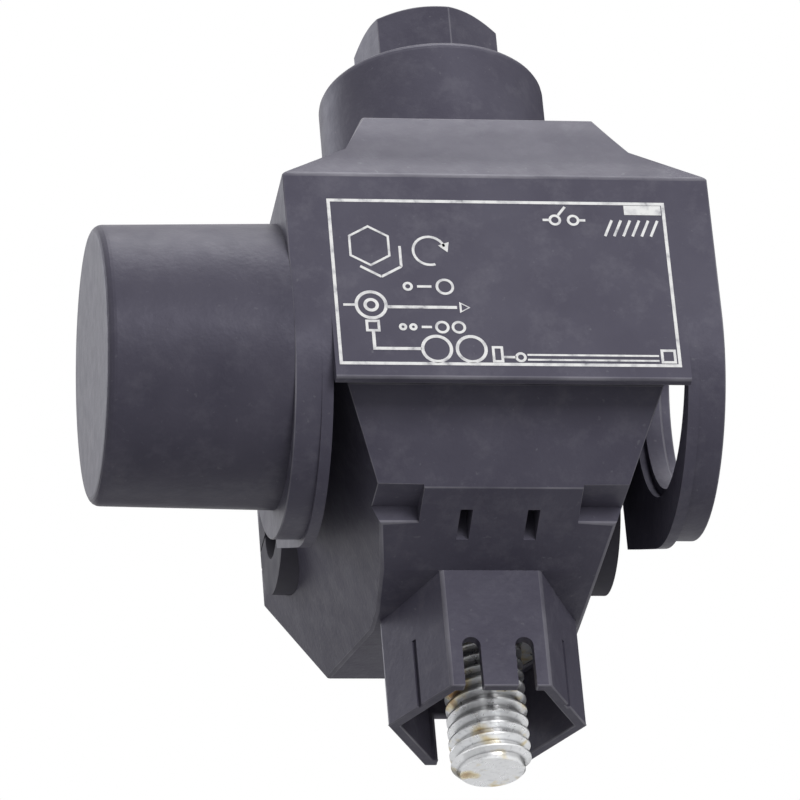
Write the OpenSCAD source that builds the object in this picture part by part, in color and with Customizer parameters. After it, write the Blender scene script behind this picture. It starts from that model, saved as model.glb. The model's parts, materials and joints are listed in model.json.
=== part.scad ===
// Insulation piercing connector. Two jaws on one shear-head bolt close on a line conductor
// at the back and press stripped tap conductors at the front. Millimetres.
// The origin is the middle of the line conductor's axis. +X runs along that conductor,
// -Y is the label side and +Z points to the hex head. The jaws are drawn closed.

/* [Conductors] */
// Radius of the smallest line conductor, which the closed seals hold
bore_r = 4.5; // [3.5:0.1:5.5]
// Radius of the end openings, for the largest line conductor
entry_r = 8.2; // [7.4:0.1:9]
// From the line conductor's axis to the bolt's axis
main_to_bolt = 15; // [14:0.5:18]
// From the bolt's axis to the tap axis
bolt_to_tap = 15; // [14:0.5:18]
// How far the tap axis lies below the line conductor's axis
tap_drop = 0.3; // [0:0.1:1.5]
// Radius of the tap holes in the end flanges
tap_hole_r = 11.6; // [10.6:0.1:11.8]
// Height between the contact plates where the tap conductors lie
tap_gap = 2; // [1:0.1:4]

/* [Upper body] */
// Clear length between the two end flanges
jaw_len = 34.4; // [32:0.2:44]
// From the tap axis to the face of the label plate
plate_reach = 13.3; // [13.2:0.1:15]
// Thickness of the label plate
plate_t = 1.2; // [1:0.1:2.6]
// Upper edge of the label plate above the line conductor's axis
plate_top = 13.6; // [13:0.1:16]
// Lower edge of the label plate below the line conductor's axis
plate_bottom = 9.1; // [6:0.1:12]
// Height of the deck above the label plate's upper edge
deck_rise = 10.3; // [9:0.1:13]
// How far the sloping facets lean back over that height
facet_lean = 5.9; // [4:0.1:7]
// Height of the shoulders above the label plate's upper edge
shoulder_rise = 4.5; // [3:0.1:6]
// Half the width of the hood at the shoulders
shoulder_half = 14; // [13:0.1:16]
// Deck left over behind the collar
deck_margin = 5; // [3:0.1:8]
// Roof of the tap channel above the tap axis
roof_rise = 5.3; // [4.5:0.1:6.5]
// Thickness of the wall behind the line conductor
rear_wall = 3.8; // [3:0.1:6]
// Height of the upright part of that wall
rear_h = 9; // [7:0.1:11]
// Width of the cores that lighten the moulding from below
core_w = 3.6; // [2:0.1:4]
// Width of the pockets in the back of the hood
rear_pocket_w = 7.6; // [5:0.1:9]
// Rib between pockets or cores
rib_t = 2.4; // [1.6:0.1:3]

/* [End flanges] */
// Thickness of the flange rim
flange_t = 3.7; // [3:0.1:6]
// How far the web around the tap hole is set in from the inner face
web_in = 0.8; // [0.4:0.1:1.2]
// Thickness of that web
web_t = 1.9; // [1.2:0.1:2.4]
// Radius of the rounded lower rim
flange_r = 14.9; // [14.2:0.1:16]
// How far the rim's centre lies below the tap axis
flange_drop = 1.2; // [0.5:0.1:1.5]
// Radius of the shallow recesses on both sides of the web
recess_r = 12.4; // [12:0.1:13]
// Thickness of the side walls, which lie beside the lower jaw
side_wall_t = 1.1; // [0.8:0.1:1.6]
// Radius of their rounded lower edge
side_wall_r = 15.4; // [15:0.1:16]
// Their lower rear corner below the line conductor's axis
side_wall_drop = 8.6; // [7:0.1:9.4]

/* [Lower jaw] */
// Side play between the lower jaw and the flanges
jaw_play = 0.6; // [0.3:0.05:1]
// How far the sides lean in for each millimetre down
side_draft = 0.39; // [0.3:0.01:0.42]
// Upright height of the sides and of the back, below the parting
upright_h = 4; // [3:0.1:5]
// Tap trough floor below the tap axis
floor_drop = 4.2; // [3.5:0.1:5.5]
// Height of the trough's front lip
lip_h = 1.4; // [0.8:0.1:2]
// Thickness of the trough's front lip
lip_t = 1.5; // [1:0.1:2.5]
// From the tap axis to the front of the jaw
front_reach = 8.9; // [8.5:0.1:10]
// From the tap axis to the crease under the front wall
crease_reach = 3.4; // [2.5:0.1:4.5]
// Upper edge of the sloping front wall below the line conductor's axis
wedge_top = 7.2; // [6.8:0.1:8]
// Crease below the line conductor's axis
crease_drop = 15.5; // [14:0.1:17]
// Belly, where the nut tower starts, below the line conductor's axis
belly_drop = 20.2; // [19.5:0.1:22]
// Bottom edge of the back below the line conductor's axis
keel_drop = 16.2; // [14:0.1:17]
// From the line conductor's axis to that bottom edge
keel_reach = 4.9; // [3:0.1:6]
// Width across the flats of the nut tower
tower_af = 17; // [16.6:0.1:19]
// Thickness of the tower's wall below the nut
tower_wall = 1.1; // [0.8:0.1:1.4]
// Length of the nut tower below the belly
tower_len = 11.5; // [10:0.1:14]
// Width of the tower's two front slots
slot_w = 1.8; // [1:0.1:2]
// From the middle to each front slot
slot_x = 2.6; // [2.2:0.05:3]
// Length of the front slots
slot_len = 5.3; // [4:0.1:6]
// Width of the notch in the tower's back
notch_w = 7.4; // [4:0.1:7.6]
// Height of the notch in the tower's back
notch_h = 5; // [4:0.1:6.6]
// Width of the drain slots in the underside
drain_w = 1.2; // [0.8:0.1:1.6]
// Length of the drain slots
drain_len = 3.6; // [2:0.1:5]
// From the middle to each drain slot
drain_x = 3.3; // [2.8:0.1:4]
// From the middle to each corner notch under the crease
corner_x = 7.8; // [6:0.1:9]
// How far the corner notches reach back from the crease
corner_d = 4.2; // [2:0.1:5]
// How far the corner notches rise above the crease
corner_h = 0.3; // [0.1:0.1:1]

/* [Bolt and nut] */
// Thread radius, M8
thread_r = 4; // [3:0.5:5]
// Width across flats of the nut and of both hexes, M8
hex_af = 13; // [12:0.5:13]
// Bolt end below the line conductor's axis
bolt_drop = 36.75; // [34:0.25:42]
// Height of the bolt's head
bolt_head_h = 5.3; // [4:0.1:6.4]
// Height of the nut
nut_h = 6.5; // [5:0.1:6.8]
// Nut's lower face above the tower's open end
nut_lift = 8.8; // [8:0.1:10]
// Thickness of both washers
washer_t = 1.6; // [1:0.1:2]
// Outer radius of the washer under the bolt's head
washer_r = 8; // [7.6:0.1:8.6]
// Radius of the insulating collar
collar_r = 11.5; // [11.2:0.1:13]
// Height of the insulating collar
collar_h = 16.1; // [14:0.1:20]
// Height of the shear hex above its neck
shear_h = 6.5; // [5:0.1:8]
// Height of the neck that breaks
neck_h = 0.9; // [0.5:0.1:1.5]
// Radius of the neck that breaks
neck_r = 4.2; // [3:0.1:4.8]
// Radius of the spigot that anchors the shear hex in the collar
spigot_r = 5; // [4.9:0.1:6]
// Length of that spigot
spigot_len = 6; // [4:0.1:8]
// Angle at which the hexes of the head stand, in degrees
head_turn = 40; // [0:1:59]

/* [End cap] */
// Length of the cap outside the flange
cap_len = 17.8; // [12:0.1:30]
// Radius of the cap at its closed end
cap_r = 13.6; // [13.2:0.1:14.4]
// How much wider the cap is at the flange
cap_draft = 0.3; // [0:0.05:0.6]
// Thickness of the cap's wall
cap_wall = 1.8; // [1.2:0.1:2.4]
// Thickness of the spigot's wall
cap_spigot_wall = 1.4; // [1:0.1:2]
// Radius of the rounding at the closed end
cap_edge_r = 0.9; // [0.4:0.1:1.6]

/* [Contacts and seals] */
// Thickness of a contact plate
blade_t = 2; // [1.4:0.1:2.6]
// From the middle to each contact plate
blade_x = 7.5; // [6.8:0.1:8]
// Teeth of a contact plate towards the line conductor
teeth = 4; // [3:1:6]
// Depth of those teeth
tooth_h = 1.7; // [1:0.1:2]
// How far the tooth tips stand back from the closed bore
tooth_back = 0.2; // [0.15:0.05:0.6]
// Length of a contact plate's tap edge
tap_edge_len = 13; // [10:0.5:13]
// From the tap axis to the front end of that edge
tap_edge_reach = 6; // [5:0.1:6.4]
// How deep a contact plate sits in its jaw at the tap channel
blade_seat = 3; // [2:0.1:3.2]
// Height of a seal block above the line conductor's axis
seal_h = 9.5; // [8.6:0.1:10]
// How far the round ends of the seals stand out of the jaws
seal_out = 0.6; // [0.2:0.1:1.2]
// Thickness of the lower jaw's wall at each end of a seal block
end_wall = 1.6; // [1.2:0.1:3]

/* [Clearances] */
// Gap between the closed jaws
parting_gap = 0.3; // [0.1:0.05:0.6]
// Play of a running or plugged fit, on the radius
fit_play = 0.06; // [0.02:0.01:0.1]
// Play of seals, plates and nut in their seats
seat_play = 0.05; // [0.02:0.01:0.1]
// Play of the bolt in plain holes, on the radius
bolt_play = 0.4; // [0.3:0.05:0.6]

/* [Hidden] */
$fn = 96;
over = 1;
thin_wall = 0.8;
round_steps = 5;
turned_part = 0.96;
turned_slope = 30;
plastic_colour = "#34343a";
cap_colour = "#2c2c31";
rubber_colour = "#1d1d1f";
steel_colour = "#c9ccce";
contact_colour = "#b9babd";

// Axes and levels
half_gap = parting_gap / 2;
bolt_y = -main_to_bolt;
tap_y = bolt_y - bolt_to_tap;
tap_z = -tap_drop;
jaw_half = jaw_len / 2;
flange_half = jaw_half + flange_t;
plate_y = tap_y - plate_reach;
deck_z = plate_top + deck_rise;
deck_front_y = plate_y + facet_lean;
deck_rear_y = bolt_y + collar_r + deck_margin;
shoulder_z = plate_top + shoulder_rise;
rear_y = entry_r + rear_wall;
roof_z = tap_z + roof_rise;
floor_z = tap_z - floor_drop;
core_y = bolt_y - thread_r - bolt_play - rib_t;
flange_cy = plate_y + flange_r;
flange_cz = tap_z - flange_drop;
flange_rear_y = flange_cy + flange_r;
web_x = jaw_half + web_in;
web_out = web_x + web_t;
entry_margin = 0.4;
wall_end_y = -entry_r - entry_margin;
wall_cy = plate_y + side_wall_r;
hole_r = thread_r + bolt_play;

// Lower jaw
jaw_side = jaw_half - jaw_play;
draft_z = -half_gap - upright_h;
belly_z = -belly_drop;
tower_z = belly_z - tower_len;
jaw_front_y = tap_y - front_reach;
crease_y = tap_y - crease_reach;
tower_front_y = bolt_y - tower_af / 2;
tower_rise = 1.1;
tower_front_z = belly_z + tower_rise;
belly_half = 2;
core_floor = 6;
drain_back = 1;
drain_y = tap_y + drain_back;
nut_af = hex_af + 2 * seat_play;
socket_af = tower_af - 2 * tower_wall;
lip_reach = 0.5;
face_groove_w = 0.6;
face_groove_d = 0.3;
face_groove_h = 7.2;
face_angle = 60;
nut_z = tower_z + nut_lift;
washer_z = nut_z + nut_h;
nut_roof_z = washer_z + washer_t;
nut_washer_r = hex_af / 2 - seat_play;

// Head
collar_z = deck_z + parting_gap;
collar_top = collar_z + collar_h;
head_z = deck_z + washer_t;
head_top = head_z + bolt_head_h;
hex_z = collar_top + neck_h;
collar_edge = 1;
bolt_tip = 0.9;
groove_w = 1.5;
groove_out = collar_r - thin_wall;
groove_in = groove_out - groove_w;
groove_h = 1.2;

// Seals and contact plates
seal_half_x = jaw_side_at(-seal_h) - end_wall;
seal_half_y = entry_r + thin_wall / 4;
seal_end_x = jaw_side + seal_out;
main_half_y = seal_half_y - thin_wall;
main_back = seal_h + blade_seat / 2;
tap_front_y = tap_y - tap_edge_reach;
tap_rear_y = tap_front_y + tap_edge_len;
bridge_z = 2.5;
blade_shoulder = 1.2;
tip_r = bore_r + tooth_back;
root_r = tip_r + tooth_h;
tooth_start = 20;
serration = 0.5;
serrations = 6;

// Side planes of the lower jaw at a level
function jaw_side_at(z) = jaw_side - side_draft * (draft_z - z);

// Teeth along an arc round the line conductor, upper half, front to back
function tooth_points() = [
    for (i = [0 : 2 * teeth])
        let (a = 180 - tooth_start - i * (180 - 2 * tooth_start) / (2 * teeth),
             r = i % 2 == 0 ? root_r : tip_r)
        [r * cos(a), r * sin(a)]
];

// Fine serration along the tap edge, front to back; up is +1 for the upper plates
function tap_points(edge, up) = [
    for (i = [0 : 2 * serrations])
        [tap_front_y + i * tap_edge_len / (2 * serrations),
         edge + (i % 2 == 0 ? up * serration : 0)]
];

// Quarter round from one direction to the next, for a revolved outline
function round_corner(cx, cy, r, from, to, steps) = [
    for (i = [0 : steps])
        let (a = from + (to - from) * i / steps)
        [cx + r * cos(a), cy + r * sin(a)]
];

// An outline in Y and Z, extruded along X
module along_x(from, to) {
    translate([from, 0, 0]) rotate([90, 0, 90]) linear_extrude(to - from) children();
}

// An outline in X and Z, extruded along Y
module along_y(from, to) {
    translate([0, to, 0]) rotate([90, 0, 0]) linear_extrude(to - from) children();
}

module rod_x(r, from, to, y, z) {
    translate([from, y, z]) rotate([0, 90, 0]) cylinder(r = r, h = to - from);
}

module block(x, y, z) {
    translate([x[0], y[0], z[0]]) cube([x[1] - x[0], y[1] - y[0], z[1] - z[0]]);
}

module both_sides() {
    children();
    mirror([1, 0, 0]) children();
}

module bolt_axis(z = 0) {
    translate([0, bolt_y, z]) children();
}

module hex(af, h) {
    cylinder(r = af / sqrt(3), h = h, $fn = 6);
}

// A hex with its corners turned off at the top
module chamfered_hex(af, h, bottom = false) {
    corner = af / sqrt(3) + seat_play;
    flat = turned_part * af / 2;
    rise = (corner - flat) * tan(turned_slope);
    intersection() {
        hex(af, h);
        union() {
            cylinder(r1 = bottom ? flat : corner, r2 = corner, h = rise);
            translate([0, 0, rise]) cylinder(r = corner, h = h - 2 * rise);
            translate([0, 0, h - rise]) cylinder(r1 = corner, r2 = flat, h = rise);
        }
    }
}

// Side view of a side wall: round in front, then straight up to its lower rear corner
module side_wall() {
    back = wall_end_y - wall_cy;
    down = -side_wall_drop - flange_cz;
    turn = atan2(down, back) - acos(side_wall_r / norm([back, down]));
    touch = [wall_cy + side_wall_r * cos(turn), flange_cz + side_wall_r * sin(turn)];
    translate([wall_cy, flange_cz]) circle(side_wall_r);
    polygon([[wall_cy, flange_cz], touch, [wall_end_y, -side_wall_drop], [wall_end_y, rear_h],
             [wall_cy, rear_h]]);
}

// One end flange, at +X: rim, side wall, web, recesses and tap hole
module flange() {
    difference() {
        union() {
            block([jaw_half, flange_half], [plate_y, flange_rear_y], [flange_cz, plate_top]);
            rod_x(flange_r, jaw_half, flange_half, flange_cy, flange_cz);
            along_x(jaw_half, jaw_half + side_wall_t) side_wall();
        }
        rod_x(recess_r, jaw_half - over, web_x, tap_y, tap_z);
        rod_x(recess_r, web_out, flange_half + over, tap_y, tap_z);
        rod_x(tap_hole_r, jaw_half, flange_half, tap_y, tap_z);
    }
}

// Side view of the hood and the upper jaw
module hood_side() {
    polygon([[plate_y, roof_z], [core_y, roof_z], [core_y, half_gap], [rear_y, half_gap],
             [rear_y, rear_h], [deck_rear_y + facet_lean, plate_top], [deck_rear_y, deck_z],
             [deck_front_y, deck_z], [plate_y, plate_top]]);
}

// Front view of the hood, with its half width below the shoulders
module hood_front(half) {
    polygon([[-half, 0], [half, 0], [half, plate_top], [shoulder_half, shoulder_z],
             [collar_r, deck_z], [-collar_r, deck_z], [-shoulder_half, shoulder_z],
             [-half, plate_top]]);
}

module hood() {
    intersection() {
        along_x(-flange_half, flange_half) hood_side();
        union() {
            along_y(plate_y, wall_end_y) hood_front(jaw_half);
            along_y(wall_end_y, rear_y) hood_front(jaw_side);
            along_y(plate_y, flange_rear_y)
                polygon([[-flange_half, plate_top], [flange_half, plate_top],
                         [shoulder_half, shoulder_z], [-shoulder_half, shoulder_z]]);
        }
    }
}

// Slots for one contact plate; up is +1 in the upper jaw and -1 in the lower
module blade_slot(up, tap_back) {
    x = [blade_x - blade_t / 2 - seat_play, blade_x + blade_t / 2 + seat_play];
    front = [tap_front_y - seat_play, -main_half_y + over];
    back = [-main_half_y - seat_play, main_half_y + seat_play];
    block(x, front, up > 0 ? [0, tap_back] : [tap_back, 0]);
    block(x, back, up > 0 ? [0, main_back] : [-main_back, 0]);
}

// Seat of a seal block and the end openings for the line conductor
module seal_seat(up) {
    block([-seal_half_x, seal_half_x], [-seal_half_y, seal_half_y],
          up > 0 ? [0, seal_h] : [-seal_h, 0]);
    rod_x(entry_r, -jaw_half - over, jaw_half + over, 0, 0);
}

// Cores that lighten the hood: from below over the tap channel, and from the back
module hood_cores() {
    core_front = plate_y + plate_t + rib_t;
    core_rear = bolt_y - hole_r - 2 * rib_t;
    outer_x = blade_x + blade_t / 2 + rib_t;
    pocket_z = main_back + rib_t / 2;
    both_sides() {
        block([rib_t / 2, rib_t / 2 + core_w], [core_front + facet_lean / 2, core_rear],
              [roof_z - over, deck_z - rib_t]);
        block([outer_x, outer_x + core_w], [core_front, core_rear], [roof_z - over, plate_top]);
        block([rib_t / 2, rib_t / 2 + rear_pocket_w], [bolt_y + hole_r + 2 * rib_t, rear_y + over],
              [pocket_z, deck_z - rib_t]);
    }
}

module upper_body() {
    color(plastic_colour)
    difference() {
        union() {
            hood();
            block([-jaw_half, jaw_half], [plate_y, plate_y + plate_t], [-plate_bottom, plate_top]);
            both_sides() flange();
        }
        bolt_axis(-over) cylinder(r = hole_r, h = deck_z + 2 * over);
        seal_seat(1);
        both_sides() blade_slot(1, roof_z + blade_seat);
        hood_cores();
    }
}

// Side view of the lower jaw without its tower
module jaw_outline() {
    polygon([[jaw_front_y, floor_z + lip_h], [jaw_front_y + lip_t, floor_z + lip_h],
             [jaw_front_y + lip_t, floor_z], [core_y - parting_gap, floor_z],
             [core_y - parting_gap, -half_gap], [rear_y, -half_gap], [rear_y, draft_z],
             [keel_reach, -keel_drop], [bolt_y + belly_half, belly_z], [bolt_y - belly_half, belly_z],
             [tower_front_y, tower_front_z], [crease_y, -crease_drop], [jaw_front_y, -wedge_top]]);
}

module jaw_block() {
    low = jaw_side_at(belly_z);
    intersection() {
        along_x(-jaw_side, jaw_side) jaw_outline();
        along_y(jaw_front_y, rear_y)
            polygon([[-jaw_side, 0], [-jaw_side, draft_z], [-low, belly_z], [low, belly_z],
                     [jaw_side, draft_z], [jaw_side, 0]]);
    }
}

// Openings of the nut tower: nut seat, wider socket below it, front slots, grooves, back notch
module tower_openings() {
    seat_z = nut_z - seat_play;
    bolt_axis(seat_z - over) hex(nut_af, nut_roof_z - seat_z + over);
    bolt_axis(tower_z - over) hex(socket_af, seat_z - tower_z + over);
    both_sides() {
        bolt_axis() rotate([0, 0, face_angle])
            block([-face_groove_w / 2, face_groove_w / 2], [-tower_af, face_groove_d - tower_af / 2],
                  [tower_z - over, tower_z + face_groove_h]);
        block([slot_x - slot_w / 2, slot_x + slot_w / 2], [bolt_y - tower_af, bolt_y],
              [tower_z - over, tower_z + slot_len - slot_w / 2]);
        translate([slot_x, bolt_y, tower_z + slot_len - slot_w / 2])
            rotate([90, 0, 0]) cylinder(r = slot_w / 2, h = tower_af);
    }
    block([-notch_w / 2, notch_w / 2], [bolt_y, bolt_y + tower_af], [tower_z - over, tower_z + notch_h]);
}

// Lip above the tongue between the front slots, which keeps the nut in
module nut_lip() {
    half = slot_x - slot_w / 2;
    block([-half, half], [bolt_y - socket_af / 2 - tower_wall / 2, bolt_y - nut_af / 2 + lip_reach],
          [nut_z - 2 * lip_reach - seat_play, nut_z - seat_play]);
}

// Cores under the tap trough, the drain slots below them and the corner notches
module trough_openings() {
    core_z = belly_z + core_floor;
    both_sides() {
        block([drain_x - core_w / 2, drain_x + core_w / 2],
              [tap_y - drain_len / 2, tap_y + drain_len], [core_z, floor_z + over]);
        block([drain_x - drain_w / 2, drain_x + drain_w / 2],
              [drain_y - drain_len / 2, drain_y + drain_len / 2], [belly_z - over, floor_z]);
        block([corner_x, jaw_half], [crease_y - over, crease_y + corner_d],
              [belly_z - over, corner_h - crease_drop]);
    }
}

module lower_jaw() {
    color(plastic_colour) {
        difference() {
            union() {
                jaw_block();
                bolt_axis(tower_z) hex(tower_af, tower_len + nut_h);
            }
            bolt_axis(tower_z) cylinder(r = hole_r, h = -tower_z + over);
            tower_openings();
            seal_seat(-1);
            both_sides() blade_slot(-1, floor_z - blade_seat);
            trough_openings();
        }
        nut_lip();
    }
}

module end_cap() {
    plug_r = recess_r - fit_play;
    nose_r = tap_hole_r - fit_play;
    inner_r = nose_r - cap_spigot_wall;
    chamber_r = cap_r - cap_wall;
    base_r = cap_r + cap_draft;
    end = flange_half + cap_len;
    web = web_out + seat_play;
    outline = concat(
        [[inner_r, jaw_half], [nose_r, jaw_half], [nose_r, web], [plug_r, web],
         [plug_r, flange_half], [base_r, flange_half]],
        round_corner(cap_r - cap_edge_r, end - cap_edge_r, cap_edge_r, 0, 90, round_steps),
        [[0, end], [0, end - cap_wall], [chamber_r, end - cap_wall],
         [chamber_r, flange_half + cap_wall], [inner_r, flange_half + cap_wall]]);
    color(cap_colour)
    translate([0, tap_y, tap_z]) rotate([0, -90, 0]) rotate_extrude() polygon(outline);
}

module head_collar() {
    outline = concat(
        [[0, collar_z], [collar_r, collar_z]],
        round_corner(collar_r - collar_edge, collar_top - collar_edge, collar_edge, 0, 90, round_steps),
        [[0, collar_top]]);
    color(plastic_colour)
    difference() {
        bolt_axis() rotate_extrude() polygon(outline);
        bolt_axis(collar_z - over)
            cylinder(r = washer_r + bolt_play, h = head_z - collar_z + over + seat_play);
        bolt_axis(collar_z - over)
            rotate([0, 0, head_turn]) hex(nut_af, head_top - collar_z + over + seat_play);
        bolt_axis(collar_z - over) difference() {
            cylinder(r = groove_out, h = groove_h + over);
            translate([0, 0, -over]) cylinder(r = groove_in, h = groove_h + 3 * over);
        }
        bolt_axis(collar_top - spigot_len) cylinder(r = spigot_r + seat_play, h = spigot_len + over);
    }
}

module shear_hex() {
    color(plastic_colour)
    bolt_axis() rotate([0, 0, head_turn]) {
        translate([0, 0, hex_z]) chamfered_hex(hex_af, shear_h);
        translate([0, 0, collar_top - neck_h]) cylinder(r = neck_r, h = 2 * neck_h);
        translate([0, 0, collar_top - spigot_len]) cylinder(r = spigot_r, h = spigot_len);
    }
}

module clamp_bolt() {
    color(steel_colour)
    bolt_axis() {
        translate([0, 0, bolt_tip - bolt_drop]) cylinder(r = thread_r, h = bolt_drop - bolt_tip + head_z);
        translate([0, 0, -bolt_drop]) cylinder(r1 = thread_r - bolt_tip, r2 = thread_r, h = bolt_tip);
        translate([0, 0, head_z]) rotate([0, 0, head_turn]) hex(hex_af, bolt_head_h);
    }
}

module ring(outer, inner, h) {
    difference() {
        cylinder(r = outer, h = h);
        translate([0, 0, -over]) cylinder(r = inner, h = h + 2 * over);
    }
}

module thrust_washer() {
    color(steel_colour) bolt_axis(deck_z) ring(washer_r, hole_r, washer_t);
}

module head_seal_ring() {
    color(rubber_colour)
    bolt_axis(deck_z) ring(groove_out - seat_play, groove_in + seat_play, groove_h + parting_gap);
}

module hex_nut() {
    color(steel_colour)
    bolt_axis(nut_z) difference() {
        chamfered_hex(hex_af, nut_h, bottom = true);
        translate([0, 0, -over]) cylinder(r = thread_r + fit_play, h = nut_h + 2 * over);
    }
}

module nut_washer() {
    color(steel_colour) bolt_axis(washer_z) ring(nut_washer_r, hole_r, washer_t);
}

// One contact plate at +X; up is +1 in the upper jaw and -1 in the lower
module blade(up, tap_back) {
    edge = tap_z + up * tap_gap / 2;
    outline = concat(
        [[tap_front_y, tap_back]],
        tap_points(edge, up),
        [[tap_rear_y, up * bridge_z], [-main_half_y, up * bridge_z], [-main_half_y, up * blade_shoulder]],
        [for (p = tooth_points()) [p[0], up * p[1]]],
        [[main_half_y, up * blade_shoulder], [main_half_y, up * main_back],
         [-main_half_y, up * main_back], [-main_half_y, tap_back]]);
    color(contact_colour)
    along_x(blade_x - blade_t / 2, blade_x + blade_t / 2) polygon(outline);
}

module upper_blade_right() { blade(1, roof_z + blade_seat); }
module upper_blade_left() { mirror([1, 0, 0]) upper_blade_right(); }
module lower_blade_right() { blade(-1, floor_z - blade_seat); }
module lower_blade_left() { mirror([1, 0, 0]) lower_blade_right(); }

// One seal block: round ends, half the closed bore, and windows for the contact plates
module seal(up) {
    x = seal_half_x - seat_play;
    y = seal_half_y - seat_play;
    window = [blade_x - blade_t / 2 - seat_play, blade_x + blade_t / 2 + seat_play];
    bridge = bridge_z - seat_play;
    color(rubber_colour)
    difference() {
        intersection() {
            union() {
                block([-x, x], [-y, y], [-seal_h, seal_h]);
                rod_x(entry_r - seat_play, -seal_end_x, seal_end_x, 0, 0);
            }
            block([-seal_end_x, seal_end_x], [-y, y], up > 0 ? [half_gap, seal_h] : [-seal_h, -half_gap]);
        }
        rod_x(bore_r, -seal_end_x - over, seal_end_x + over, 0, 0);
        both_sides() {
            block(window, [-main_half_y - seat_play, main_half_y + seat_play], [-main_back, main_back]);
            block(window, [-seal_half_y, 0], up > 0 ? [bridge, main_back] : [-main_back, -bridge]);
        }
    }
}

module upper_main_seal() { seal(1); }
module lower_main_seal() { seal(-1); }

upper_body();
lower_jaw();
end_cap();
head_collar();
shear_hex();
clamp_bolt();
thrust_washer();
head_seal_ring();
hex_nut();
nut_washer();
upper_blade_left();
upper_blade_right();
lower_blade_left();
lower_blade_right();
upper_main_seal();
lower_main_seal();
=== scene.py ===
"""Looks of an insulation piercing connector: black moulded jaws, a plugged end cap, a shear-head
bolt with a zinc plated thread, and a white printed frame with pictograms on the label plate."""
import json
import math

import bmesh
import bpy
from mathutils import Matrix, Vector


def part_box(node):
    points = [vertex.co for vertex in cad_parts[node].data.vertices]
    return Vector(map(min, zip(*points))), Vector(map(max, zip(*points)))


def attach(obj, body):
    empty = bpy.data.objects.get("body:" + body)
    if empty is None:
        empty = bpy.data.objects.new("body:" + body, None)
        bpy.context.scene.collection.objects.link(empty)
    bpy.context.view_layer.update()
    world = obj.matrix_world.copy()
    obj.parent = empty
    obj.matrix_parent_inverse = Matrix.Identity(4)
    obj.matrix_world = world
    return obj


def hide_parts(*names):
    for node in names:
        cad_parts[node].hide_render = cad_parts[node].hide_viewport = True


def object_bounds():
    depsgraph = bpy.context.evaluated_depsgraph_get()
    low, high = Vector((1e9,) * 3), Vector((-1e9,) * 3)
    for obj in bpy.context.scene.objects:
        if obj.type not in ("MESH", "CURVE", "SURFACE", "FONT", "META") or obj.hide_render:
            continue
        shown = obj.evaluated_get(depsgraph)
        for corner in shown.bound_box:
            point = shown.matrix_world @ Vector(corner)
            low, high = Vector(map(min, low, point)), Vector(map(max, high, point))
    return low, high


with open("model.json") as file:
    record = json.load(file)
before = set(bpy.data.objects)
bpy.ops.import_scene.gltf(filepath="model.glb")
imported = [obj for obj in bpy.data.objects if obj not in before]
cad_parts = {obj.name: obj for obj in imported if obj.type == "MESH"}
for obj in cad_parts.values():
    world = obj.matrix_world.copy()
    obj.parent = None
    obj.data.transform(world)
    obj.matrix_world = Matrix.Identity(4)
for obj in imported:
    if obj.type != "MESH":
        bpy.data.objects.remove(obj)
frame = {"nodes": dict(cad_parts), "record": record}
cad_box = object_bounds()
nodes = frame["nodes"]
BOX = {name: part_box(name) for name in nodes}

MM = 0.001

# Camera, in degrees and metres
CAMERA_AZIMUTH = -10.96
CAMERA_ELEVATION = -29.56
CAMERA_ROLL = 5.0
CAMERA_DISTANCE = 0.6455
CAMERA_AIM = Vector((-7.03, -21.19, 1.22)) * MM
CAMERA_LENS = 294.6
CAMERA_SENSOR = 36.0

# Stage, with its lengths in metres
FLOOR_GAP = 0.04
FLOOR_RADIUS = 0.9
FLOOR_SIDES = 96
FLOOR_PALE = 0.86
FLOOR_FADE_FROM = 0.25 * FLOOR_RADIUS
WORLD_FILL = 0.36
STAGE_ROUGH = 0.9
FLAG_DARK = 0.02
FLAG_LIGHT = 0.04
COOL_WHITE = (0.88, 0.89, 1.0)

# Rounded edges of the mouldings
MERGE = 0.002 * MM
FLAT_ANGLE = math.radians(0.5)
SHARP_ANGLE = math.radians(24)
SMOOTH_ANGLE = math.radians(40)
FACE_WEIGHT = 60
BODY_EDGE = 0.28 * MM
HEX_EDGE = 0.35 * MM
EDGE_STEPS = 3
JAW_SHORTEST = 3.4 * MM
NEAR = 0.1 * MM

# Thread of the bolt, M8
PITCH = 1.25 * MM
CREST_R = 3.97 * MM
ROOT_R = 3.3 * MM
TIP_R = 3.1 * MM
THREAD_STEPS = 64
HEAD_H = 5.3 * MM

# Print on the label plate: X and Z are places on the plate, in millimetres
INK_LIFT = 0.004 * MM
INK_T = 0.02 * MM
LINE = 0.32
THIN = 0.26
FRAME_LEFT, FRAME_RIGHT = -16.8, 16.35
FRAME_LOW, FRAME_HIGH = -7.7, 10.75
RING_SIDES = 40

# Usual spread of a noise, and the sockets of a colour mix
NOISE_LOW, NOISE_HIGH = 0.3, 0.7
MIX_FACTOR, MIX_UNDER, MIX_OVER, MIX_RESULT = 0, 6, 7, 2

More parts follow.
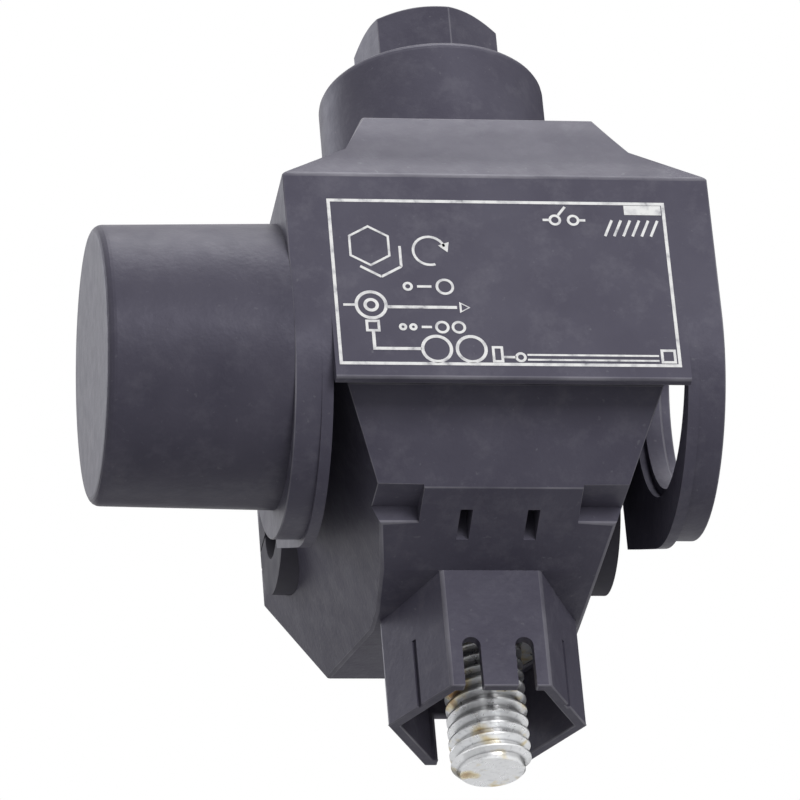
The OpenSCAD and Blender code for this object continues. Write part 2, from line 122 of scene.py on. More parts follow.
# Colours of the plastics, the metals, the rubber and the ink
BODY_DARK, BODY_LIGHT = (0.063, 0.059, 0.083), (0.081, 0.077, 0.104)
CAP_DARK, CAP_LIGHT = (0.050, 0.047, 0.067), (0.066, 0.062, 0.085)
# EDGE_DARK and EDGE_LIGHT colour the rounded edges: lighter plastic for wear and a painted edge
# highlight
EDGE_DARK, EDGE_LIGHT = (0.095, 0.091, 0.115), (0.200, 0.195, 0.225)
DUST = (0.17, 0.17, 0.19)
SCUFF = (0.155, 0.150, 0.180)
PLASTIC_SHEEN = (0.84, 0.82, 1.0)
ZINC, ZINC_STAIN, ZINC_RUST = (0.96, 0.97, 0.98), (0.84, 0.74, 0.50), (0.42, 0.25, 0.11)
ZINC_PIT = (0.50, 0.51, 0.53)
# Painted shade for the roots of the bolt's thread
THREAD_ROOT_SHADE = (0.22, 0.22, 0.23)
TIN_DARK, TIN_LIGHT = (0.62, 0.62, 0.62), (0.74, 0.74, 0.73)
RUBBER_DARK, RUBBER_LIGHT = (0.040, 0.038, 0.050), (0.062, 0.059, 0.076)
INK_WHITE, INK_THIN = (0.84, 0.84, 0.84), (0.62, 0.62, 0.64)


# Small tools

def select_only(obj):
    bpy.ops.object.select_all(action="DESELECT")
    obj.select_set(True)
    bpy.context.view_layer.objects.active = obj


def apply_modifier(obj, kind, **settings):
    select_only(obj)
    modifier = obj.modifiers.new(kind, kind)
    for key, value in settings.items():
        setattr(modifier, key, value)
    bpy.ops.object.modifier_apply(modifier=modifier.name)


def edit_all(obj):
    """Edit mode with the whole mesh selected."""
    select_only(obj)
    bpy.ops.object.mode_set(mode="EDIT")
    bpy.ops.mesh.select_mode(type="EDGE")
    bpy.ops.mesh.select_all(action="SELECT")


def edit_done():
    bpy.ops.mesh.select_all(action="DESELECT")
    bpy.ops.object.mode_set(mode="OBJECT")


def new_object(name, data):
    obj = bpy.data.objects.new(name, data)
    bpy.context.scene.collection.objects.link(obj)
    return obj


def join(parts, name):
    """One object from several, with their places in its mesh."""
    bpy.ops.object.select_all(action="DESELECT")
    for part in parts:
        part.select_set(True)
    bpy.context.view_layer.objects.active = parts[0]
    bpy.ops.object.join()
    obj = bpy.context.object
    obj.name = name
    bpy.ops.object.transform_apply(location=True, rotation=True, scale=True)
    return obj


def middle_of(box):
    """The middle between a box's two corners."""
    return (box[0] + box[1]) / 2


# Materials

def new_material(name):
    """A material with its nodes, its links and its Principled shader."""
    mat = bpy.data.materials.new(name)
    mat.use_nodes = True
    tree = mat.node_tree
    return mat, tree.nodes, tree.links, tree.nodes["Principled BSDF"]


def grey(level):
    return (level, level, level)


def noise(nodes_of, links, scale, detail, crisp=0.5):
    """Noise on the piece's own coordinates, with scale in features per metre."""
    place_of = nodes_of.new("ShaderNodeTexCoord")
    texture = nodes_of.new("ShaderNodeTexNoise")
    texture.inputs["Scale"].default_value = scale
    texture.inputs["Detail"].default_value = detail
    texture.inputs["Roughness"].default_value = crisp
    links.new(place_of.outputs["Object"], texture.inputs["Vector"])
    return texture.outputs["Fac"]


def ramp(nodes_of, links, source, stops):
    """A colour ramp from (position, colour) stops."""
    node = nodes_of.new("ShaderNodeValToRGB")
    links.new(source, node.inputs["Fac"])
    elements = node.color_ramp.elements
    while len(elements) < len(stops):
        elements.new(0.5)
    for element, (position, colour) in zip(elements, stops):
        element.position = position
        element.color = (*colour, 1)
    return node.outputs["Color"]


def span(nodes_of, links, source, low, high):
    """Maps a noise from its usual spread to low and high."""
    node = nodes_of.new("ShaderNodeMapRange")
    node.inputs["From Min"].default_value = NOISE_LOW
    node.inputs["From Max"].default_value = NOISE_HIGH
    node.inputs["To Min"].default_value = low
    node.inputs["To Max"].default_value = high
    links.new(source, node.inputs["Value"])
    return node.outputs["Result"]


def bump(nodes_of, links, height, depth, strength):
    node = nodes_of.new("ShaderNodeBump")
    node.inputs["Strength"].default_value = strength
    node.inputs["Distance"].default_value = depth
    links.new(height, node.inputs["Height"])
    return node.outputs["Normal"]


def overlay(nodes_of, links, mask, under, over):
    """The colour over laid on the colour under, as far as the mask is white."""
    node = nodes_of.new("ShaderNodeMix")
    node.data_type = "RGBA"
    links.new(mask, node.inputs[MIX_FACTOR])
    links.new(under, node.inputs[MIX_UNDER])
    node.inputs[MIX_OVER].default_value = (*over, 1)
    return node.outputs[MIX_RESULT]


def moulded_plastic(name, dark, light, rough, wear):
    """Satin black plastic: cloudy colour, pale scuffs, fine grain and specks of dust."""
    mat, nodes_of, links, shader = new_material(name)
    cloud = noise(nodes_of, links, scale=150, detail=6)
    colour = ramp(nodes_of, links, cloud, [(0.34, dark), (0.66, light)])
    specks = noise(nodes_of, links, scale=1500, detail=2)
    dust = ramp(nodes_of, links, specks, [(0.69, grey(0)), (0.78, grey(wear))])
    colour = overlay(nodes_of, links, dust, colour, DUST)
    rubbed = noise(nodes_of, links, scale=330, detail=9, crisp=0.68)
    scuff = ramp(nodes_of, links, rubbed, [(0.50, grey(0)), (0.72, grey(wear))])
    colour = overlay(nodes_of, links, scuff, colour, SCUFF)
    links.new(colour, shader.inputs["Base Color"])
    satin = noise(nodes_of, links, scale=520, detail=4)
    links.new(span(nodes_of, links, satin, rough - 0.03, rough + 0.04), shader.inputs["Roughness"])
    grain = noise(nodes_of, links, scale=1900, detail=3)
    links.new(bump(nodes_of, links, grain, depth=0.06 * MM, strength=0.5), shader.inputs["Normal"])
    shader.inputs["Specular IOR Level"].default_value = 0.25
    shader.inputs["Specular Tint"].default_value = (*PLASTIC_SHEEN, 1)
    return mat


def thread_root_shade(nodes_of, links):
    """A mask that is light in the roots of the bolt's thread, for painted shade there, and else black.
    """
    axis = middle_of(BOX["clamp_bolt"])
    place_of = nodes_of.new("ShaderNodeTexCoord")
    mapping = nodes_of.new("ShaderNodeMapping")
    mapping.inputs["Location"].default_value = (-axis.x, -axis.y, 0)
    mapping.inputs["Scale"].default_value = (1, 1, 0)
    links.new(place_of.outputs["Object"], mapping.inputs["Vector"])
    radius = nodes_of.new("ShaderNodeVectorMath")
    radius.operation = "LENGTH"
    links.new(mapping.outputs["Vector"], radius.inputs[0])
    height = nodes_of.new("ShaderNodeMapRange")
    height.inputs["From Min"].default_value = TIP_R
    height.inputs["From Max"].default_value = CREST_R
    links.new(radius.outputs["Value"], height.inputs["Value"])
    stops = [(0.1, grey(0)), (0.24, grey(0.6)), (0.36, grey(0.25)), (0.5, grey(0))]
    return ramp(nodes_of, links, height.outputs["Result"], stops)


def plated_steel(name, threaded=False):
    """Dull zinc plate with grey pits and a few yellow-brown stains, and painted shade in the thread's
    roots when threaded.
    """
    mat, nodes_of, links, shader = new_material(name)
    shader.inputs["Metallic"].default_value = 0.7
    stain = noise(nodes_of, links, scale=260, detail=3)
    colour = ramp(nodes_of, links, stain, [(0.53, ZINC), (0.60, ZINC_STAIN), (0.68, ZINC_RUST)])
    pitted = noise(nodes_of, links, scale=1900, detail=5)
    pits = ramp(nodes_of, links, pitted, [(0.54, grey(0)), (0.76, grey(0.5))])
    colour = overlay(nodes_of, links, pits, colour, ZINC_PIT)
    if threaded:
        # Darkens the thread's roots with painted shade
        colour = overlay(nodes_of, links, thread_root_shade(nodes_of, links), colour, THREAD_ROOT_SHADE)
    links.new(colour, shader.inputs["Base Color"])
    cloud = noise(nodes_of, links, scale=900, detail=4)
    links.new(span(nodes_of, links, cloud, 0.24, 0.40), shader.inputs["Roughness"])
    links.new(bump(nodes_of, links, cloud, depth=0.03 * MM, strength=0.3), shader.inputs["Normal"])
    return mat


def tinned_metal(name):
    """Tinned copper, grey and cloudy."""
    mat, nodes_of, links, shader = new_material(name)
    shader.inputs["Metallic"].default_value = 1
    cloud = noise(nodes_of, links, scale=600, detail=3)
    colour = ramp(nodes_of, links, cloud, [(NOISE_LOW, TIN_DARK), (NOISE_HIGH, TIN_LIGHT)])
    links.new(colour, shader.inputs["Base Color"])
    links.new(span(nodes_of, links, cloud, 0.3, 0.45), shader.inputs["Roughness"])
    return mat


def soft_rubber(name):
    """Dull black rubber with a chalky bloom."""
    mat, nodes_of, links, shader = new_material(name)
    cloud = noise(nodes_of, links, scale=400, detail=4)
    stops = [(NOISE_LOW, RUBBER_DARK), (NOISE_HIGH, RUBBER_LIGHT)]
    colour = ramp(nodes_of, links, cloud, stops)
    links.new(colour, shader.inputs["Base Color"])
    links.new(span(nodes_of, links, cloud, 0.62, 0.78), shader.inputs["Roughness"])
    shader.inputs["Specular IOR Level"].default_value = 0.3
    return mat


def worn_ink(name):
    """White print that has worn thin in spots, where the plastic shows through."""
    mat, nodes_of, links, shader = new_material(name)
    wear = noise(nodes_of, links, scale=900, detail=4)
    colour = ramp(nodes_of, links, wear, [(0.46, INK_WHITE), (0.62, INK_THIN), (0.78, BODY_LIGHT)])
    links.new(colour, shader.inputs["Base Color"])
    links.new(span(nodes_of, links, wear, 0.5, 0.7), shader.inputs["Roughness"])
    return mat


FINISHES = {
    "body_plastic": moulded_plastic("body_plastic", BODY_DARK, BODY_LIGHT, rough=0.47, wear=0.38),
    "cap_plastic": moulded_plastic("cap_plastic", CAP_DARK, CAP_LIGHT, rough=0.45, wear=0.25),
    "zinc_steel": plated_steel("zinc_plate"),
    "contact_metal": tinned_metal("tinned_contact"),
    "seal_rubber": soft_rubber("seal_rubber"),
}
thread_zinc = plated_steel("thread_zinc", threaded=True)
# Finish of the roundings: lighter plastic that paints an edge highlight as well as wear
edge_wear_and_highlight = moulded_plastic("edge_wear_and_highlight", EDGE_DARK, EDGE_LIGHT, rough=0.42, wear=0.5)
white_ink = worn_ink("white_ink")

for part in frame["record"]["subparts"]:
    finish_list = nodes[part["node"]].data.materials
    finish_list.clear()
    finish_list.append(FINISHES[part["material_slot"]])


# Mouldings: merged copies of the solids with rounded edges, whose roundings are painted lighter as wear
# and as a painted edge highlight

def merged_copy(name, node_name):
    """A copy of a node's mesh with its points merged and its flat faces joined."""
    obj = new_object(name, nodes[node_name].data.copy())
    obj.data.materials.clear()
    edit_all(obj)
    if obj.data.has_custom_normals:
        bpy.ops.mesh.customdata_custom_splitnormals_clear()
    bpy.ops.mesh.remove_doubles(threshold=MERGE)
    bpy.ops.mesh.dissolve_limited(angle_limit=FLAT_ANGLE)
    edit_done()
    return obj


def round_edges(obj, width, wanted, shortest=0):
    """Rounds the sharp outer edges whose middle is wanted; the rounding takes the second finish,
    lighter plastic for wear and a painted edge highlight.
    """
    edit_all(obj)
    bpy.ops.mesh.select_all(action="DESELECT")
    mesh = bmesh.from_edit_mesh(obj.data)
    for edge in mesh.edges:
        if len(edge.link_faces) != 2 or edge.calc_face_angle_signed() < SHARP_ANGLE:
            continue
        if edge.calc_length() < shortest or any(face.material_index for face in edge.link_faces):
            continue
        if wanted((edge.verts[0].co + edge.verts[1].co) / 2):
            edge.select_set(True)
    bmesh.update_edit_mesh(obj.data)
    bpy.ops.mesh.bevel(offset=width, segments=EDGE_STEPS, profile=0.5, clamp_overlap=True, material=1)
    edit_done()


def smooth(obj):
    """Smooth roundings between flat faces that stay flat."""
    select_only(obj)
    bpy.ops.object.shade_smooth_by_angle(angle=SMOOTH_ANGLE)
    apply_modifier(obj, "WEIGHTED_NORMAL", weight=FACE_WEIGHT, keep_sharp=True)


def moulding(name, node_name, body, slot, width, groups):
    """Stands for a node, with its edges rounded one group after another.

    A group is a test of an edge's middle and the length of the shortest edge that it takes."""
    obj = merged_copy(name, node_name)
    obj.data.materials.append(FINISHES[slot])
    obj.data.materials.append(edge_wear_and_highlight)
    for wanted, shortest in groups:
        round_edges(obj, width, wanted, shortest)
    smooth(obj)
    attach(obj, body)
    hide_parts(node_name)


def make_upper():
    """The upper jaw with the label plate, the deck and the two end flanges."""
    low, high = BOX["upper_body"]
    axis = middle_of(BOX["clamp_bolt"])
    plate_back = low.y + 1.5 * MM
    between_flanges = 17.1 * MM
    side_wall = 18.4 * MM
    flange_face = high.x - NEAR
    deck_edge = 13 * MM
    bolt_hole = 5 * MM

    def deck(p):
        hole = math.hypot(p.x - axis.x, p.y - axis.y) < bolt_hole
        return p.z > deck_edge and abs(p.x) < between_flanges and not hole

    tests = [
        lambda p: p.y < plate_back and abs(p.x) < between_flanges,
        deck,
        lambda p: p.y > high.y - NEAR,
        lambda p: p.x < -flange_face,
        lambda p: p.x > flange_face,
        lambda p: side_wall < -p.x < flange_face,
        lambda p: side_wall < p.x < flange_face,
    ]
    groups = [(wanted, 0) for wanted in tests]
    moulding("upper_moulding", "upper_body", "upper", "body_plastic", BODY_EDGE, groups)


def make_jaw():
    """The lower jaw with its wedge, keel and nut tower."""
    low, high = BOX["lower_jaw"]
    axis = middle_of(BOX["clamp_bolt"])
    tower_top = -20.45 * MM
    lip = -5 * MM
    wedge_front = -30 * MM
    blade_half_x, blade_half_y, blade_low = 9 * MM, 8 * MM, -12 * MM
    belly_half_x, belly_front, belly_back = 4.5 * MM, -33 * MM, 4 * MM
    slot_top, slot_front, slot_half = -26.2 * MM, -22 * MM, 3.7 * MM
    groove_angle, groove_r, groove_half = math.radians(60), 8.5 * MM, 0.7 * MM
    groove_mid = Vector((math.sin(groove_angle), -math.cos(groove_angle))) * groove_r

    def skin(p):
        blade_slot = abs(p.y) < blade_half_y and abs(p.x) < blade_half_x and p.z > blade_low
        belly_slot = abs(p.x) < belly_half_x and belly_front < p.y < belly_back
        return tower_top < p.z < lip and not blade_slot and not belly_slot

    def tower(p):
        slot = abs(p.x) < slot_half and p.y < slot_front and p.z < slot_top
        off = Vector((abs(p.x - axis.x), p.y - axis.y)) - groove_mid
        return p.z < tower_top and not slot and off.length > groove_half

    groups = [
        (lambda p: p.y > wedge_front and (skin(p) or p.y > high.y - NEAR), JAW_SHORTEST),
        (lambda p: p.y < wedge_front and skin(p), JAW_SHORTEST),
        (lambda p: p.z < low.z + NEAR, 0),
        (tower, 0),
    ]
    moulding("jaw_moulding", "lower_jaw", "jaw", "body_plastic", BODY_EDGE, groups)


def make_hex():
    """The hexagon that shears off at its set torque."""
    neck_top = BOX["head_collar"][1].z + 0.5 * MM
    groups = [(lambda p: p.z > neck_top, 0)]
    moulding("shear_head", "shear_hex", "bolt", "body_plastic", HEX_EDGE, groups)


make_upper()
make_jaw()
make_hex()


# Bolt with a rolled thread

def make_thread(axis, low, high):
    """One turn of the thread's outline, wound up the bolt and cut square at both ends."""
    flank = 5 / 16 * PITCH
    crest = PITCH / 8
    root = PITCH - 2 * flank - crest
    heights = [0, root, root + flank, root + flank + crest, PITCH]
    radii = [ROOT_R, ROOT_R, CREST_R, CREST_R, ROOT_R]
    points = [(r, 0, z) for r, z in zip(radii, heights)]
    edges = [(i, i + 1) for i in range(len(points) - 1)]
    mesh = bpy.data.meshes.new("thread")
    mesh.from_pydata(points, edges, [])
    obj = new_object("thread", mesh)
    spare_turns = 3
    turns = math.ceil((high - low) / PITCH) + spare_turns
    apply_modifier(obj, "SCREW", axis="Z", angle=math.tau, screw_offset=PITCH, iterations=turns,
                   steps=THREAD_STEPS, render_steps=THREAD_STEPS, use_merge_vertices=True,
                   merge_threshold=MERGE)
    obj.location = (axis.x, axis.y, low - spare_turns / 2 * PITCH)
    select_only(obj)
    bpy.ops.object.transform_apply(location=True, rotation=False, scale=False)
    edit_all(obj)
    bpy.ops.mesh.remove_doubles(threshold=MERGE)
    for height, keep_above in ((low, True), (high, False)):
        bpy.ops.mesh.select_all(action="SELECT")
        bpy.ops.mesh.bisect(plane_co=(0, 0, height), plane_no=(0, 0, 1), use_fill=True,
                            clear_inner=keep_above, clear_outer=not keep_above, threshold=MERGE)
    bpy.ops.mesh.select_all(action="SELECT")
    bpy.ops.mesh.normals_make_consistent(inside=False)
    edit_done()
    # The tip narrows at 45 degrees
    for vertex in obj.data.vertices:
        across = Vector((vertex.co.x - axis.x, vertex.co.y - axis.y))
        limit = TIP_R + vertex.co.z - low
        if across.length > limit:
            across *= limit / across.length
            vertex.co.x, vertex.co.y = axis.x + across.x, axis.y + across.y
    return obj


def make_bolt():
    """The bolt's head from its solid, on a threaded shank."""
    low, high = BOX["clamp_bolt"]
    head_low = high.z - HEAD_H
    head = merged_copy("bolt_head", "clamp_bolt")
    edit_all(head)
    bpy.ops.mesh.bisect(plane_co=(0, 0, head_low + 2 * MERGE), plane_no=(0, 0, 1), use_fill=True,
                        clear_inner=True, threshold=MERGE)
    edit_done()
    round_edges(head, HEX_EDGE, lambda p: True)
    thread = make_thread(middle_of((low, high)), low.z, head_low + HEX_EDGE)
    obj = join([head, thread], "threaded_bolt")
    obj.data.materials.clear()
    obj.data.materials.append(thread_zinc)
    smooth(obj)
    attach(obj, "bolt")
    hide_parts("clamp_bolt")


make_bolt()


# Print on the label plate

plate_y = BOX["upper_body"][0].y - INK_LIFT


def on_plate(x, z, angle=0, width=1, height=1):
    """Stands a flat shape up on the plate at X, Z in millimetres, turned by an angle."""
    stand = Matrix.Rotation(-angle, 4, "Y") @ Matrix.Rotation(math.pi / 2, 4, "X")
    grow = Matrix.Diagonal((width * MM, height * MM, MM, 1))
    return Matrix.Translation((x * MM, plate_y, z * MM)) @ stand @ grow


def bar(start, end, width=LINE):
    """A straight printed line."""
    run = Vector(end) - Vector(start)
    middle = (Vector(start) + Vector(end)) / 2
    bpy.ops.mesh.primitive_plane_add(size=1)
    obj = bpy.context.object
    obj.matrix_world = on_plate(middle.x, middle.y, math.atan2(run.y, run.x), run.length, width)
    return obj


def ring(x, z, radius, width=LINE, sides=RING_SIDES, turn=0):
    """A printed circle, or a polygon with few sides, as a ring of faces."""
    bpy.ops.mesh.primitive_circle_add(vertices=sides, radius=radius, fill_type="NOTHING")
    obj = bpy.context.object
    bpy.ops.object.mode_set(mode="EDIT")
    bpy.ops.mesh.select_all(action="SELECT")
    bpy.ops.mesh.extrude_edges_move()
    inner = (radius - width) / radius
    bpy.ops.transform.resize(value=(inner, inner, inner))
    edit_done()
    obj.matrix_world = on_plate(x, z, turn)
    return obj


def arc(x, z, radius, first, last, width=LINE):
    """A printed arc: a circle without the faces outside two angles, in degrees from the right."""
    obj = ring(x, z, radius, width)
    edit_all(obj)
    bpy.ops.mesh.select_all(action="DESELECT")
    mesh = bmesh.from_edit_mesh(obj.data)
    for face in mesh.faces:
        middle = face.calc_center_median()
        angle = math.degrees(math.atan2(middle.y, middle.x)) % 360
        if not first < angle < last:
            face.select_set(True)
    bmesh.update_edit_mesh(obj.data)
    bpy.ops.mesh.delete(type="FACE")
    bpy.ops.object.mode_set(mode="OBJECT")
    return obj


def arrow(x, z, length, turn):
    """A solid arrowhead whose tip points to an angle in degrees."""
    height_per_radius = 1.5
    bpy.ops.mesh.primitive_circle_add(vertices=3, radius=length / height_per_radius, fill_type="NGON")
    obj = bpy.context.object
    obj.matrix_world = on_plate(x, z, math.radians(turn - 90))
    return obj


def box_outline(left, low, right, high, width=LINE):
    """A printed rectangle of four lines that butt at the corners."""
    half = width / 2
    return [
        bar((left, high - half), (right, high - half), width),
        bar((left, low + half), (right, low + half), width),
        bar((left + half, low + width), (left + half, high - width), width),
        bar((right - half, low + width), (right - half, high - width), width),
    ]


def hexagon_sign():
    """A hexagon with the edges of its depth, and the arrow that it turns by."""
    middle, radius, depth = Vector((-13.0, 5.5)), 2.3, Vector((0.95, -1.15))
    turn_x, turn_z, turn_r = -7.2, 5.0, 1.7
    first, last = 20, 290
    tip_x, tip_z, tip_length, tip_turn = -5.65, 5.5, 1.0, -70
    parts = [ring(middle.x, middle.y, radius, THIN, sides=6)]
    angles = [math.radians(60 * i) for i in range(1, 5)]
    corners = [middle + depth + Vector((math.sin(a), math.cos(a))) * radius for a in angles]
    parts.extend(bar(near, far, THIN) for near, far in zip(corners, corners[1:]))
    parts.append(arc(turn_x, turn_z, turn_r, first, last, THIN))
    parts.append(arrow(tip_x, tip_z, tip_length, tip_turn))
    return parts


def size_range(z, small, small_r, dash, large, large_r):
    """Rings for the smallest and the largest conductors, with a dash between them."""
    parts = [ring(x, z, small_r, THIN) for x in small]
    parts.append(bar((dash[0], z), (dash[1], z), THIN))
    parts.extend(ring(x, z, large_r, THIN) for x in large)
    return parts


def conductor_sign():
    """The line conductor with its run, and the branch to the two tap conductors."""
    line_x, line_z, line_r, core_r = -13.3, -1.1, 1.6, 0.75
    run_left, run_right, run_z = -16.0, -5.0, line_z - 0.2
    tip_x, tip_r = -4.4, 0.7
    clamp_half, clamp_low, clamp_high = 0.7, line_z - 2.95, line_z - 1.65
    branch_z, branch_right = -5.9, -8.8
    taps, tap_r = (-7.3, -3.95), 1.55
    parts = [
        ring(line_x, line_z, line_r),
        ring(line_x, line_z, core_r),
        bar((run_left, line_z), (line_x - line_r, line_z), THIN),
        bar((line_x + line_r, run_z), (run_right, run_z)),
        ring(tip_x, run_z, tip_r, THIN, sides=3, turn=math.radians(-90)),
    ]
    parts.extend(box_outline(line_x - clamp_half, clamp_low, line_x + clamp_half, clamp_high, THIN))
    parts.append(bar((line_x, clamp_low), (line_x, branch_z + LINE / 2)))
    parts.append(bar((line_x - LINE / 2, branch_z), (branch_right, branch_z)))
    parts.extend(ring(x, branch_z, tap_r) for x in taps)
    return parts


def strip_gauge():
    """A conductor's end with the length to strip, as a double line between two stops."""
    z = -6.75
    stop_left, stop_right, stop_low, stop_high = -2.0, -0.9, z - 0.6, z + 1.2
    eye_left, eye_x, eye_r = 0.3, 0.75, 0.55
    strip_left, strip_right, strip_half, strip_line = 1.4, 14.2, 0.27, 0.2
    end_left, end_right, end_low, end_high = 14.4, 15.9, z - 0.55, z + 1.0
    parts = box_outline(stop_left, stop_low, stop_right, stop_high, THIN)
    parts.append(bar((stop_right, z), (eye_left, z), THIN))
    parts.append(ring(eye_x, z, eye_r, THIN))
    for edge_z in (z - strip_half, z + strip_half):
        parts.append(bar((strip_left, edge_z), (strip_right, edge_z), strip_line))
    parts.extend(box_outline(end_left, end_low, end_right, end_high, THIN))
    return parts


def switch_sign():
    """Two contacts with a lever that stands open."""
    z, contact_r = 8.65, 0.62
    left_x, right_x = 5.4, 7.2
    lead_left, lead_right, lead = 4.2, 7.8, 0.6
    lever_foot, lever_tip = (5.75, z + 0.55), (6.5, z + 1.5)
    return [
        bar((lead_left, z), (lead_left + lead, z), THIN),
        ring(left_x, z, contact_r, THIN),
        ring(right_x, z, contact_r, THIN),
        bar((lead_right, z), (lead_right + lead, z), THIN),
        bar(lever_foot, lever_tip, THIN),
    ]


def corner_patch():
    """A solid bar in the frame's upper corner, with slanted hatch lines below it."""
    bar_left, bar_right, bar_z, bar_h = 12.3, 15.95, 9.85, 1.05
    hatch_count, hatch_left, hatch_step, hatch_slant = 6, 10.2, 0.9, 0.8
    hatch_low, hatch_high = 6.9, 8.7
    parts = [bar((bar_left, bar_z), (bar_right, bar_z), bar_h)]
    for i in range(hatch_count):
        foot = hatch_left + hatch_step * i
        parts.append(bar((foot, hatch_low), (foot + hatch_slant, hatch_high), THIN))
    return parts


def make_print():
    """A frame with the pictograms of a hexagon, the two conductors, a switch and a strip gauge."""
    parts = box_outline(FRAME_LEFT, FRAME_LOW, FRAME_RIGHT, FRAME_HIGH)
    parts.extend(hexagon_sign())
    parts.extend(size_range(z=1.0, small=(-9.6,), small_r=0.5, dash=(-8.7, -7.3),
                            large=(-6.0,), large_r=0.9))
    parts.extend(size_range(z=-3.5, small=(-10.4, -9.4), small_r=0.4, dash=(-8.6, -7.6),
                            large=(-6.6, -5.0), large_r=0.7))
    parts.extend(conductor_sign())
    parts.extend(strip_gauge())
    parts.extend(switch_sign())
    parts.extend(corner_patch())
    obj = join(parts, "label_print")
    for polygon in obj.data.polygons:
        if polygon.normal.y > 0:
            polygon.flip()
    apply_modifier(obj, "SOLIDIFY", thickness=INK_T, offset=1)
    obj.data.materials.append(white_ink)
    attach(obj, "upper")


make_print()


# Camera and stage

def facing(azimuth, elevation):
    """The direction from the part's middle out to an azimuth and an elevation."""
    a, e = math.radians(azimuth), math.radians(elevation)
    return Vector((math.sin(a) * math.cos(e), -math.cos(a) * math.cos(e), math.sin(e)))


def make_camera():
    """Looks up at the label side from the left, rolled a little."""
    a, r = math.radians(CAMERA_AZIMUTH), math.radians(CAMERA_ROLL)
    back = facing(CAMERA_AZIMUTH, CAMERA_ELEVATION)
    level = Vector((math.cos(a), math.sin(a), 0))
    upright = back.cross(level)
    right = level * math.cos(r) - upright * math.sin(r)
    up = level * math.sin(r) + upright * math.cos(r)
    data = bpy.data.cameras.new("camera")
    data.lens = CAMERA_LENS
    data.sensor_width = CAMERA_SENSOR
    data.clip_start = 0.01
    data.clip_end = 20
    obj = new_object("camera", data)
    turn = Matrix((right, up, back)).transposed().to_4x4()
    obj.matrix_world = Matrix.Translation(CAMERA_AIM + back * CAMERA_DISTANCE) @ turn
    bpy.context.scene.camera = obj


def make_floor():
    """A pale disc under the part, seen from above only, that fades out to the white around it.

    It sends no soft light back up to the part."""
    bpy.ops.object.select_all(action="DESELECT")
    place = (0, 0, cad_box[0].z - FLOOR_GAP)
    bpy.ops.mesh.primitive_circle_add(vertices=FLOOR_SIDES, radius=FLOOR_RADIUS, fill_type="NGON",
                                      location=place)
    obj = bpy.context.object
    obj.name = "floor"
    mat, nodes_of, links, shader = new_material("pale_floor")
    shader.inputs["Base Color"].default_value = (*grey(FLOOR_PALE), 1)
    shader.inputs["Roughness"].default_value = STAGE_ROUGH
    place_of = nodes_of.new("ShaderNodeTexCoord")
    length = nodes_of.new("ShaderNodeVectorMath")
    length.operation = "LENGTH"
    links.new(place_of.outputs["Object"], length.inputs[0])
    fade = nodes_of.new("ShaderNodeMapRange")
    fade.inputs["From Min"].default_value = FLOOR_FADE_FROM
    fade.inputs["From Max"].default_value = FLOOR_RADIUS
    links.new(length.outputs["Value"], fade.inputs["Value"])
    side = nodes_of.new("ShaderNodeNewGeometry")
    either = nodes_of.new("ShaderNodeMath")
    either.operation = "MAXIMUM"
    links.new(fade.outputs["Result"], either.inputs[0])
    links.new(side.outputs["Backfacing"], either.inputs[1])
    clear = nodes_of.new("ShaderNodeBsdfTransparent")
    mix = nodes_of.new("ShaderNodeMixShader")
    links.new(either.outputs["Value"], mix.inputs["Fac"])
    links.new(shader.outputs["BSDF"], mix.inputs[1])
    links.new(clear.outputs["BSDF"], mix.inputs[2])
    links.new(mix.outputs["Shader"], nodes_of["Material Output"].inputs["Surface"])
    obj.data.materials.append(mat)
    obj.visible_diffuse = False


def make_world():
    """White where it is seen or mirrored, and an even soft fill for the rest."""
    world = bpy.data.worlds.new("studio")
    bpy.context.scene.world = world
    world.use_nodes = True
    nodes_of, links = world.node_tree.nodes, world.node_tree.links
    nodes_of.clear()
    path = nodes_of.new("ShaderNodeLightPath")
    seen = path.outputs["Is Camera Ray"]
    for ray in ("Is Glossy Ray", "Is Transmission Ray"):
        either = nodes_of.new("ShaderNodeMath")
        either.operation = "MAXIMUM"
        links.new(seen, either.inputs[0])
        links.new(path.outputs[ray], either.inputs[1])
        seen = either.outputs["Value"]
    strength = nodes_of.new("ShaderNodeMapRange")
    strength.inputs["To Min"].default_value = WORLD_FILL
    strength.inputs["To Max"].default_value = 1
    links.new(seen, strength.inputs["Value"])
    shade = nodes_of.new("ShaderNodeBackground")
    shade.inputs["Color"].default_value = (1, 1, 1, 1)
    links.new(strength.outputs["Result"], shade.inputs["Strength"])
    out = nodes_of.new("ShaderNodeOutputWorld")
    links.new(shade.outputs["Background"], out.inputs["Surface"])


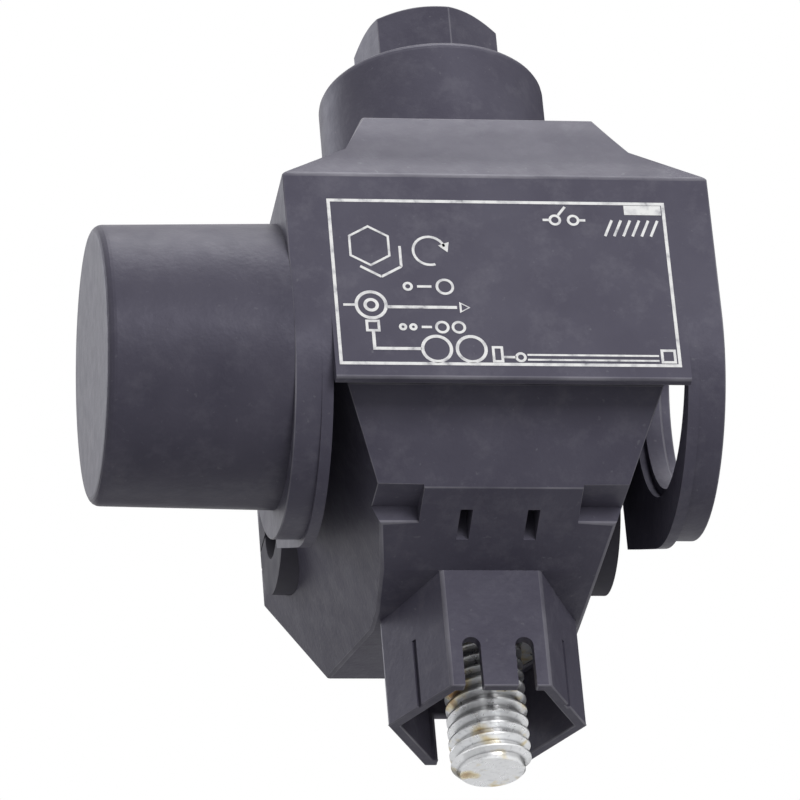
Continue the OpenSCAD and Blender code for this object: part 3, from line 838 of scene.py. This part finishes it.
def soft_lamp(name, azimuth, elevation, distance, size, watts, colour=(1, 1, 1)):
    """A square lamp that faces the middle of the part."""
    back = facing(azimuth, elevation)
    data = bpy.data.lights.new(name, "AREA")
    data.shape = "SQUARE"
    data.size = size
    data.energy = watts
    data.color = colour
    obj = new_object(name, data)
    obj.location = middle_of(cad_box) + back * distance
    obj.rotation_mode = "QUATERNION"
    obj.rotation_quaternion = (-back).to_track_quat("-Z", "Y")


def gloss_flag(name, azimuth, elevation, distance, width, height):
    """A dark card that only reflections see, so that the flanks don't mirror the white studio."""
    back = facing(azimuth, elevation)
    bpy.ops.object.select_all(action="DESELECT")
    bpy.ops.mesh.primitive_plane_add(size=1)
    obj = bpy.context.object
    obj.name = name
    place = Matrix.Translation(middle_of(cad_box) + back * distance)
    turn = (-back).to_track_quat("Z", "Y").to_matrix().to_4x4()
    obj.matrix_world = place @ turn @ Matrix.Diagonal((width, height, 1, 1))
    mat, nodes_of, links, shader = new_material(name)
    cloth = noise(nodes_of, links, scale=40, detail=2)
    stops = [(NOISE_LOW, grey(FLAG_DARK)), (NOISE_HIGH, grey(FLAG_LIGHT))]
    colour = ramp(nodes_of, links, cloth, stops)
    links.new(colour, shader.inputs["Base Color"])
    shader.inputs["Roughness"].default_value = STAGE_ROUGH
    obj.data.materials.append(mat)
    obj.visible_camera = False
    obj.visible_diffuse = False
    obj.visible_shadow = False
    obj.visible_transmission = False


make_camera()
make_floor()
make_world()
soft_lamp("key_lamp", azimuth=26, elevation=78, distance=0.7, size=0.45, watts=2.9)
soft_lamp("front_lamp", azimuth=14, elevation=6, distance=0.8, size=0.3, watts=3.0)
soft_lamp("rim_lamp", azimuth=224, elevation=31, distance=0.8, size=0.25, watts=0.95, colour=COOL_WHITE)
gloss_flag("right_flag", azimuth=130, elevation=22, distance=0.4, width=0.5, height=0.4)
gloss_flag("left_flag", azimuth=202, elevation=-20, distance=0.4, width=0.56, height=0.42)
bpy.context.scene.view_settings.view_transform = "Standard"
